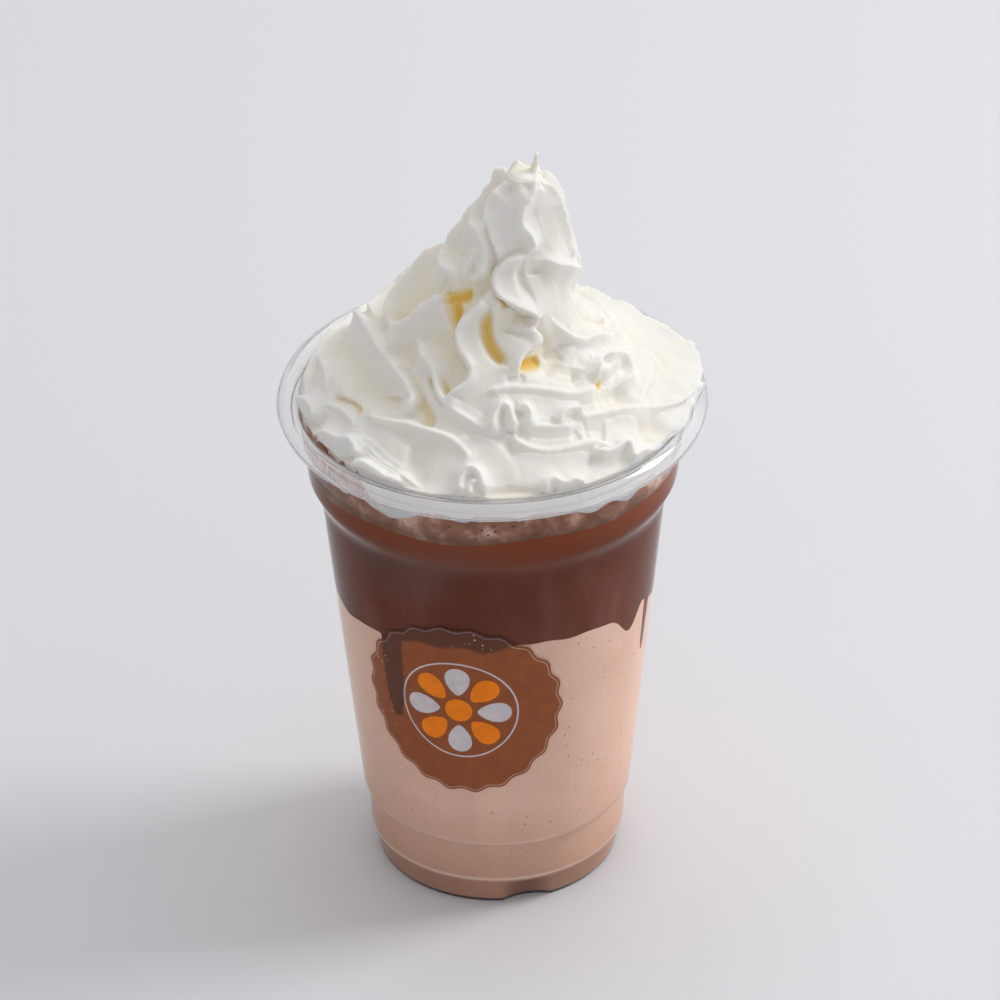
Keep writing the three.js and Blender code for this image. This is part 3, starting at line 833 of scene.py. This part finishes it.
def on_mound(angle, height):
    """A point on the smooth mound that the crests lie on."""
    low = read_off(SMOOTH_MOUND, height, 0, 2)
    high = read_off(SMOOTH_MOUND, height, 0, 3)
    to_high = (0.5 + 0.5 * np.cos(np.radians(angle - HIGH_SIDE))) ** 1.4
    radius = low * (1 - to_high) + high * to_high
    for middle, width, far in SPILL:
        spread = smooth_step((134.0 - height) / 6.0) * (1.0 - 0.45 * smooth_step((127.5 - height) / 3.5))
        radius = radius + far * hump(angle, middle, width) * spread
    point = on_circle(angle, radius, height)
    point[..., 0] += read_off(SMOOTH_MOUND, height, 0, 1)
    return point


def mound_heights(count):
    """Heights spread evenly along the slope, from the tip down."""
    fine = np.linspace(MOUND[0][0], MOUND[-1][0], 4000)
    radius = 0.5 * (read_off(MOUND, fine, 0, 2) + read_off(MOUND, fine, 0, 3))
    run = np.concatenate([[0.0], np.cumsum(np.hypot(np.diff(fine), np.diff(radius)))])
    return np.interp(np.linspace(0.0, run[-1], count), run, fine)


def crest_line(points):
    """The crest as points a little under a millimetre apart, the mound's normals there, and its length."""
    plan = np.array(rounded_line([(a * PLAN_DEGREE, z) for a, z in points], 0.6))
    place = on_mound(plan[:, 0] / PLAN_DEGREE, plan[:, 1])
    run = np.concatenate([[0.0], np.cumsum(np.linalg.norm(np.diff(place, axis=0), axis=1))])
    even = np.linspace(0.0, run[-1], max(6, int(run[-1] / 0.8)))
    angle, height = [np.interp(even, run, plan[:, k]) for k in range(2)]
    angle = angle / PLAN_DEGREE
    return on_mound(angle, height), mound_normal(angle, height), run[-1]


def mound_normal(angle, height):
    middle = on_mound(angle, height)
    across = np.cross(on_mound(angle + 0.05, height) - middle, on_mound(angle, height + 0.01) - middle)
    return across / np.linalg.norm(across, axis=-1, keepdims=True)


def wobble(x, seed, period=512):
    """A smooth random line from -1 to 1, with a new value at each whole number, repeated after the period."""
    draws = np.random.default_rng(seed).uniform(-1, 1, 512)
    whole = np.floor(x).astype(int)
    part = smooth_step(x - whole)
    return draws[whole % period] * (1 - part) + draws[(whole + 1) % period] * part


def lumps(points, size, seed):
    """A smooth random number between -1 and 1 at each point, with lumps of the given size."""
    draws = np.random.default_rng(seed).uniform(-1, 1, (64, 64, 64))
    place = points / size + 400.0
    whole = np.floor(place).astype(int)
    part = smooth_step(place - whole)
    total = np.zeros(len(points))
    for corner in np.ndindex(2, 2, 2):
        weight = np.prod(np.where(corner, part, 1.0 - part), axis=1)
        total += weight * draws[tuple(((whole + corner) % 64).T)]
    return total


def roughness(points, angle):
    """The torn lumps of the cream, rougher round the sides than in front."""
    rough = 0.35 + 0.65 * smooth_step((np.abs(turn_between(angle, -8.0)) - 34.0) / 26.0)
    rough *= 1.0 - 0.7 * smooth_step((points[:, 2] - 146.0) / 10.0)
    top = 0.8 * smooth_step((points[:, 2] - 176.5) / 4.0) * lumps(points, 2.9, 21)
    return top + rough * sum(high * lumps(points, size, seed) for size, high, seed in TORN_LUMPS)


def nearest_on(line, points):
    """For each point its distance to the line, the nearest place there, its direction and the share along."""
    start, step = line[:-1], np.diff(line, axis=0)
    square = (step**2).sum(axis=1)
    best = np.full(len(points), np.inf)
    index = np.zeros(len(points), int)
    part = np.zeros(len(points))
    for j in range(len(start)):
        away = points - start[j]
        t = np.clip(away @ step[j] / square[j], 0.0, 1.0)
        far = ((away - t[:, None] * step[j]) ** 2).sum(axis=1)
        closer = far < best
        best[closer], index[closer], part[closer] = far[closer], j, t[closer]
    place = start[index] + part[:, None] * step[index]
    direction = step[index] / np.sqrt(square[index])[:, None]
    return np.sqrt(best), place, direction, (index + part) / len(start)


def end_fade(along, shares):
    """Rises from 0 at either end of a crest to 1 along its middle."""
    return smooth_step(along / shares[0]) * smooth_step((1 - along) / shares[1])


def folded(points, normals, heights, radii):
    """The mound's points moved to the folded surface, and the share of painted crease shade and glow for
    each.
    """
    lowest = np.full(len(points), DEEPEST)
    second = lowest.copy()
    depth = lowest.copy()
    lean = np.zeros_like(points)
    for number, one in enumerate(FOLDS):
        line, line_normals, length = crest_line(one["points"])
        share = np.linspace(0.0, 1.0, len(line))
        hang = end_fade(share, one["fade"])[:, None]
        forward = np.gradient(line, axis=0)
        forward /= np.linalg.norm(forward, axis=1, keepdims=True)
        line = line - hang * (one["lean"] * np.cross(forward, line_normals) - np.array([0, 0, one["droop"]]))
        near = np.all((points > line.min(axis=0) - 18) & (points < line.max(axis=0) + 18), axis=1)
        ids = np.flatnonzero(near)
        away, place, direction, along = nearest_on(line, points[ids])
        across = np.cross(direction, normals[ids])
        side = ((points[ids] - place) * across).sum(axis=1)
        fade = end_fade(along, one["fade"])
        right = smooth_step(side / 1.6 + 0.5)
        soft = np.hypot(away, one["round"]) - one["round"]
        falls = [deep * (1 - np.exp(-soft / wide)) for deep, wide in (one["left"], one["right"])]
        fall = one["sag"] + 3.0 * (1 - fade) + falls[0] * (1 - right) + falls[1] * right
        fall += 0.6 * np.maximum(0.0, soft - 7.5)
        fall -= one["lip"] * fade * (np.exp(-soft / 0.8) - 1.0)
        run = along * length
        teeth = sum(high * wobble(run / size, number + seed) for size, high, seed in TEETH)
        teeth *= 0.3 + 0.9 * np.abs(wobble(run / 7.0, number + 299))
        fall -= one["ruffle"] * fade * teeth * np.exp(-soft / 1.0)
        closer = fall < lowest[ids]
        second[ids] = np.where(closer, lowest[ids], np.minimum(second[ids], fall))
        lowest[ids] = np.minimum(lowest[ids], fall)
        share = np.clip(0.5 + 0.5 * (depth[ids] - fall) / VALLEY, 0.0, 1.0)
        depth[ids] = depth[ids] * (1 - share) + fall * share - VALLEY * share * (1 - share)
        reach = fade * np.exp(-((soft / 2.6) ** 2))
        shift = across * (one["lean"] * reach)[:, None]
        shift[:, 2] -= one["droop"] * reach
        lean[ids[closer]] = shift[closer]
    lean *= smooth_step((second - lowest) / 1.0)[:, None]
    hollow = np.zeros(len(points))
    # Painted glow: the golden tint in the hollows, for light that the cream lets into them
    painted_hollow_glow = np.zeros(len(points))
    for path, half, deep, hollow_glow_share in HOLLOWS:
        line = crest_line(path)[0]
        away = nearest_on(line, points)[0]
        inside = smooth_step((depth - 1.2) / 2.2)
        share = inside * np.exp(-((away / half) ** 4))
        hollow = np.maximum(hollow, deep * share)
        painted_hollow_glow = np.maximum(painted_hollow_glow, hollow_glow_share * inside * np.exp(-((away / half / 1.1) ** 2.4)))
    limit = MOUTH_DEPTH + 7.0 * smooth_step((heights - 123.4) / 5.0)
    whole = limit * np.tanh((depth + hollow) / limit)
    most = (0.75 - 0.2 * smooth_step((heights - 174.0) / 6.0)) * radii
    whole = most * np.tanh(whole / most) * smooth_step((MOUND[2][0] + 0.2 - heights) / 1.2)
    taper = smooth_step((MOUND[0][0] - heights) / 6.0)
    moved = points - normals * whole[:, None] + lean * taper[:, None]
    return moved, np.maximum(0.5 * np.clip(depth / DEEPEST, 0, 1), painted_hollow_glow)


def wall_gap(angle):
    """How far the cream stands off the wall on the left."""
    return 2.6 * np.exp(-((turn_between(angle, -80.0) / 30.0) ** 4)) * (0.65 + 0.35 * wobble(angle / 5.0, 77))


def softened(grid):
    """The rings with every point drawn a little towards its neighbours, so that none stands out alone."""
    for _ in range(SOFTENINGS):
        beside = np.roll(grid, 1, axis=1) + np.roll(grid, -1, axis=1)
        middle = 0.5 * grid[1:-1] + 0.125 * (beside[1:-1] + grid[:-2] + grid[2:])
        grid = np.concatenate([grid[:1], middle, grid[-1:]])
    return grid


def cream_grid():
    """Rings of the folded surface from the tip down, then rings inside the mouth and under the cream."""
    heights = mound_heights(CREAM_LEVELS)
    angles = np.arange(CREAM_STEPS) * 360.0 / CREAM_STEPS
    height, angle = [g.ravel() for g in np.meshgrid(heights, angles, indexing="ij")]
    points = on_mound(angle, height)
    normals = mound_normal(angle, height)
    axis = np.stack([read_off(SMOOTH_MOUND, height, 0, 1), 0.0 * height], axis=-1)
    radii = np.hypot(*(points[:, :2] - axis).T)
    moved, depth = folded(points, normals, height, radii)
    below_tip = smooth_step((MOUND[2][0] - height) / 4.0)[:, None]
    moved += normals * roughness(points, angle)[:, None] * below_tip
    from_tip = np.hypot(moved[:, 0] - TIP_HOLLOW[0], moved[:, 1])
    sink = np.exp(-((from_tip / TIP_HOLLOW[1]) ** 2)) * smooth_step((MOUND[1][0] - height) / 1.8)
    moved[:, 2] -= TIP_HOLLOW[2] * sink * smooth_step((height - 176.0) / 4.0)
    reach = np.hypot(moved[:, 0], moved[:, 1])
    lies_out = sum(far * hump(angle, middle, width) for middle, width, far in SPILL) > 0.8
    inside = (moved[:, 2] < 123.8) & (reach > MOUTH_RADIUS) & ~lies_out
    moved[inside, :2] *= ((MOUTH_RADIUS - wall_gap(angle[inside])) / reach[inside])[:, None]
    resting = lies_out & (reach > MOUTH_RADIUS)
    moved[resting, 2] = np.maximum(moved[resting, 2], RIM_TOP + 0.15)
    moved[:, 2] = np.maximum(moved[:, 2], FOLDS_LOWEST)
    rings = [softened(moved.reshape(CREAM_LEVELS, CREAM_STEPS, 3))]
    last = rings[0][-1]
    reach = np.hypot(last[:, 0], last[:, 1])
    turn = angle_of(last)
    start = np.where(reach > MOUTH_RADIUS, np.maximum(last[:, 2] - 0.1, RIM_TOP + 0.1), last[:, 2] - 0.3)
    radius = np.minimum(reach, MOUTH_RADIUS)
    rings.append(on_circle(turn, radius, start)[None])
    for share in (0.3, 0.65, 1.0):
        level = start + (COLLAR_FOOT - start) * share
        wall = inner_radius(level) + REACH
        held = wall - np.maximum(0.0, wall - radius) * (1 - share) ** 0.7
        held -= wall_gap(turn) * (1 - share)
        rings.append(on_circle(turn, held, level)[None])
    under = foam_top(turn)
    for share in (1.0, 0.6):
        level = FOAM_TOP + (under - FOAM_TOP) * share**6
        rings.append(on_circle(turn, share * (inner_radius(level) + REACH), level)[None])
    return np.vstack(rings), depth


def make_cream():
    rings, depth = cream_grid()
    count, steps, _ = rings.shape
    ids = np.arange(count * steps).reshape(count, steps)
    upper, lower = ids[:-1], ids[1:]
    faces = np.stack([upper, lower, np.roll(lower, -1, 1), np.roll(upper, -1, 1)], axis=-1)
    faces = faces.reshape(-1, 4).tolist()
    tip, bottom = count * steps, count * steps + 1
    faces += [(tip, int(a), int(b)) for a, b in zip(ids[0], np.roll(ids[0], -1))]
    faces += [(bottom, int(b), int(a)) for a, b in zip(ids[-1], np.roll(ids[-1], -1))]
    points = np.vstack([rings.reshape(-1, 3), rings[0].mean(axis=0) + (0, 0, 0.2), (0, 0, FOAM_TOP)])
    mesh = bpy.data.meshes.new("cream_swirl")
    mesh.from_pydata((points * MM).tolist(), [], faces)
    cream = bpy.data.objects.new("cream_swirl", mesh)
    # The share of painted crease shade and glow, which the cream's colour reads
    add_values(cream, "painted_crease_shade_glow", np.pad(depth, (0, len(points) - len(depth))))
    bpy.context.collection.objects.link(cream)
    deselect()
    cream.select_set(True)
    bpy.context.view_layer.objects.active = cream
    thin = cream.modifiers.new("fewer_faces", "DECIMATE")
    thin.ratio = CREAM_TRIANGLES / (2.0 * len(faces))
    bpy.ops.object.modifier_apply(modifier=thin.name)
    smooth(cream)
    finished(cream, "cream", whipped_cream())


def make_smear():
    """The sauce smeared over the inside of the wall, left of the cream."""
    turn = np.linspace(*SMEAR, SMEAR_STEPS + 1)
    ends = smooth_step((turn - SMEAR[0]) / 8.0) * smooth_step((SMEAR[1] - turn) / 8.0)
    high = SMEAR_FOOT + 0.4 + ends * (5.0 + 0.9 * wobble(turn / 4.1, 31) + 0.8 * wobble(turn / 1.4, 32))
    share = np.linspace(0.0, 1.0, SMEAR_ROWS + 1)
    height = SMEAR_FOOT + (high - SMEAR_FOOT)[:, None] * share[None, :]
    angle = turn[:, None] + 0.0 * height
    deselect()
    bpy.ops.mesh.primitive_grid_add(x_subdivisions=SMEAR_ROWS, y_subdivisions=SMEAR_STEPS, size=1.0)
    obj = bpy.context.object
    obj.name = obj.data.name = "sauce_smear"
    move_points(obj, on_circle(angle.ravel(), inner_radius(height.ravel()) + REACH, height.ravel()))
    thicken(obj, SMEAR_THICKNESS, -1.0)
    smooth(obj, 40)
    finished(obj, "chocolate", smear())


# The sticker

def on_wall(across, up, lift):
    """A place on the wall, by millimetres right of and above the sticker's middle."""
    height = STICKER_HEIGHT + up
    radius = read_off(OUTER_WALL, height)
    angle = STICKER_ANGLE + np.degrees(across / read_off(OUTER_WALL, STICKER_HEIGHT))
    return on_circle(angle, radius + lift, height)


def scallop(turn, radius):
    return radius * (1.0 + 0.02 * np.cos(STICKER_SCALLOPS * turn))


def printed(name, inner, outer, turns, lift, thick, material, rings=6, steps=None):
    """A thin raised field of ink on the wall, between two radii that may follow the turn."""
    steps = steps or max(8, int(abs(turns[1] - turns[0]) / math.tau * 264))
    turn = np.linspace(turns[0], turns[1], steps + 1)
    share = np.linspace(0.0, 1.0, rings + 1)
    low = np.array([inner(t) for t in turn])
    high = np.array([outer(t) for t in turn])
    radius = low[:, None] + (high - low)[:, None] * share[None, :]
    across = (radius * np.cos(turn)[:, None]).ravel()
    up = (radius * np.sin(turn)[:, None]).ravel()
    deselect()
    bpy.ops.mesh.primitive_grid_add(x_subdivisions=rings, y_subdivisions=steps, size=1.0)
    obj = bpy.context.object
    obj.name = obj.data.name = name
    move_points(obj, on_wall(across, up, lift))
    bpy.ops.object.mode_set(mode="EDIT")
    bpy.ops.mesh.select_all(action="SELECT")
    bpy.ops.mesh.remove_doubles(threshold=0.00001)
    bpy.ops.mesh.select_all(action="SELECT")
    bpy.ops.mesh.normals_make_consistent(inside=False)
    bpy.ops.object.mode_set(mode="OBJECT")
    thicken(obj, thick, 1.0)
    points = points_of(obj)
    add_values(obj, "sauce_behind", smooth_step((points[:, 2] - sauce_edge(angle_of(points))) / 1.0 + 0.5))
    smooth(obj, 40)
    finished(obj, "label", material)


def make_sticker():
    brown = print_ink("sticker_brown", (0.36, 0.098, 0.03), 0.9, 0.8)
    outline = print_ink("sticker_outline", (0.6, 0.36, 0.26), 0.9)
    white = print_ink("sticker_white", (0.72, 0.66, 0.68), 0.95)
    orange = print_ink("sticker_orange", (1.0, 0.24, 0.0), 1.0)
    full = (0.0, math.tau)
    printed("sticker_field", lambda t: 0.0, lambda t: scallop(t, STICKER_RADIUS), full, FIELD_LIFT,
            FIELD_THICKNESS, brown, rings=40)
    printed("sticker_outline", lambda t: scallop(t, STICKER_RADIUS - 0.75),
            lambda t: scallop(t, STICKER_RADIUS - 0.5), full, INK_LIFT, INK_THICKNESS, outline, rings=1)
    printed("sticker_ring", lambda t: 13.4, lambda t: 13.8, full, INK_LIFT, INK_THICKNESS, white, rings=1)
    for i in range(PETALS):
        middle = math.tau * i / PETALS
        half = math.tau / PETALS * 0.42
        shape = lambda t, m=middle, h=half: math.sqrt(max(0.0, 1.0 - ((t - m) / h) ** 2))
        near = lambda t, s=shape: 8.0 - 3.6 * s(t)
        far = lambda t, s=shape: 8.0 + 4.2 * s(t)
        printed(f"sticker_petal_{i}", near, far, (middle - half, middle + half), INK_LIFT, INK_THICKNESS,
                orange if i % 2 else white, rings=4, steps=24)
    printed("sticker_heart", lambda t: 0.0, lambda t: 3.2, full, INK_LIFT, INK_THICKNESS, orange,
            rings=2, steps=48)


# The stage

def make_floor():
    deselect()
    bpy.ops.mesh.primitive_plane_add(size=6.0)
    floor = bpy.context.object
    floor.name = "floor"
    m = Nodes("pale_floor")
    m.set(Base_Color=(0.79, 0.795, 0.82, 1), Roughness=0.7)
    floor.data.materials.append(m.material)


def make_light(name, place, aim, size, power):
    data = bpy.data.lights.new(name, "AREA")
    data.size = size
    data.energy = power
    light = bpy.data.objects.new(name, data)
    bpy.context.collection.objects.link(light)
    light.location = place
    light.rotation_euler = (Vector(aim) - Vector(place)).to_track_quat("-Z", "Y").to_euler()


def make_world():
    """A plain studio sky, brighter overhead than at eye level."""
    world = bpy.data.worlds.new("studio")
    world.use_nodes = True
    tree = world.node_tree
    where = tree.nodes.new("ShaderNodeTexCoord")
    split = tree.nodes.new("ShaderNodeSeparateXYZ")
    ramp = tree.nodes.new("ShaderNodeValToRGB")
    tree.links.new(where.outputs["Generated"], split.inputs[0])
    tree.links.new(split.outputs["Z"], ramp.inputs["Fac"])
    tree.links.new(ramp.outputs["Color"], tree.nodes["Background"].inputs["Color"])
    ramp.color_ramp.elements[0].color = (0.425, 0.42, 0.425, 1)
    ramp.color_ramp.elements[1].color = (0.61, 0.61, 0.625, 1)
    bpy.context.scene.world = world


def make_lights():
    make_light("key", (1.1, 0.3, 1.1), (0, 0, 0.1), 0.5, 9.5)
    make_light("overhead", (0.1, 0.5, 1.4), (0, 0, 0.1), 1.0, 2.8)
    make_world()


def make_camera():
    data = bpy.data.cameras.new("camera")
    data.lens = CAMERA_LENS
    data.sensor_width = 36.0
    data.clip_end = 20.0
    camera = bpy.data.objects.new("camera", data)
    bpy.context.collection.objects.link(camera)
    tilt = math.radians(CAMERA_ELEVATION)
    aim = Vector(CAMERA_AIM) * MM
    camera.location = aim + Vector((0, -math.cos(tilt), math.sin(tilt))) * CAMERA_DISTANCE * MM
    look = (aim - camera.location).to_track_quat("-Z", "Y").to_matrix().to_4x4()
    camera.rotation_euler = (look @ Matrix.Rotation(-math.radians(CAMERA_ROLL), 4, "Z")).to_euler()
    bpy.context.scene.camera = camera
    bpy.context.scene.view_settings.view_transform = "Standard"


make_camera()
make_lights()
make_floor()
make_cup()
make_coffee()
make_layer("sauce_band", sauce_edge, sauce_top, np.linspace(66, 107, 30), "chocolate", chocolate())
make_layer("foam_band", sauce_top, foam_top, np.linspace(109, 113, 5), "foam", foam())
make_cream()
make_smear()
make_sticker()
